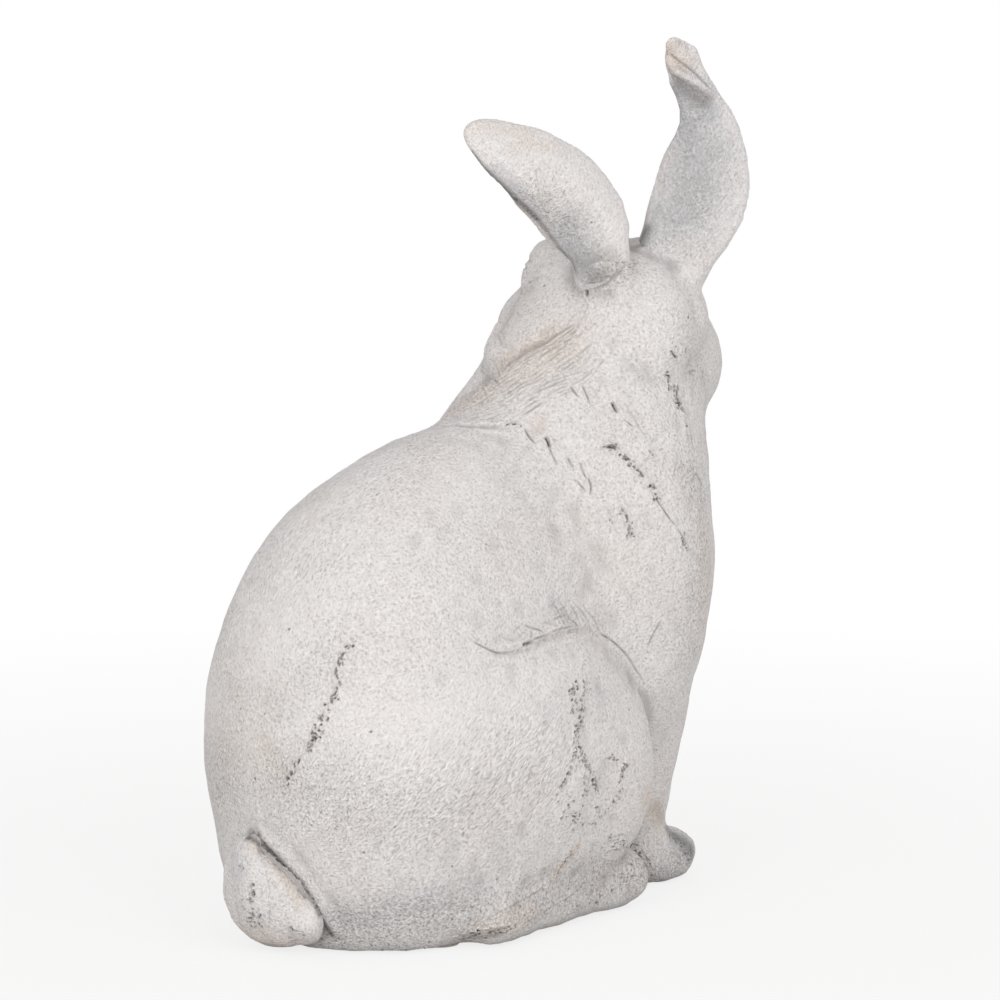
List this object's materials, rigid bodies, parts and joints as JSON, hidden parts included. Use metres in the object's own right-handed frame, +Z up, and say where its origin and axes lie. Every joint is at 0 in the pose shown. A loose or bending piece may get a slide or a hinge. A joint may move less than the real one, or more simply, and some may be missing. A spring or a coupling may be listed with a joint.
{
  "type": "rabbit figurine",
  "caption": "Seated rabbit garden or shelf ornament: hollow cast resin body, ears and tail cast apart and glued in, closing plate and felt pads underneath.",
  "frame": {"origin": "middle of the bounding box in plan, on the table plane under the felt pads", "axes": "+Z up, the body looks along -Y, +X is the rabbit's left side; the head is turned to its left"},
  "size_m": [0.136, 0.2338, 0.3278],
  "materials": {
    "chalk_resin": "chalk-white weathered cast resin with a grey-brown wash in the creases",
    "bare_resin": "plain cast resin, uncoloured",
    "dowel_steel": "drawn steel rod",
    "felt": "pressed felt, undyed"
  },
  "bodies": {
    "root": {"body_casting": "chalk_resin", "left_ear": "chalk_resin", "right_ear": "chalk_resin", "left_ear_pin": "dowel_steel", "right_ear_pin": "dowel_steel", "tail": "chalk_resin", "base_plate": "bare_resin", "felt_pad_front_left": "felt", "felt_pad_front_right": "felt", "felt_pad_rear_left": "felt", "felt_pad_rear_right": "felt"}
  },
  "joints": []
}
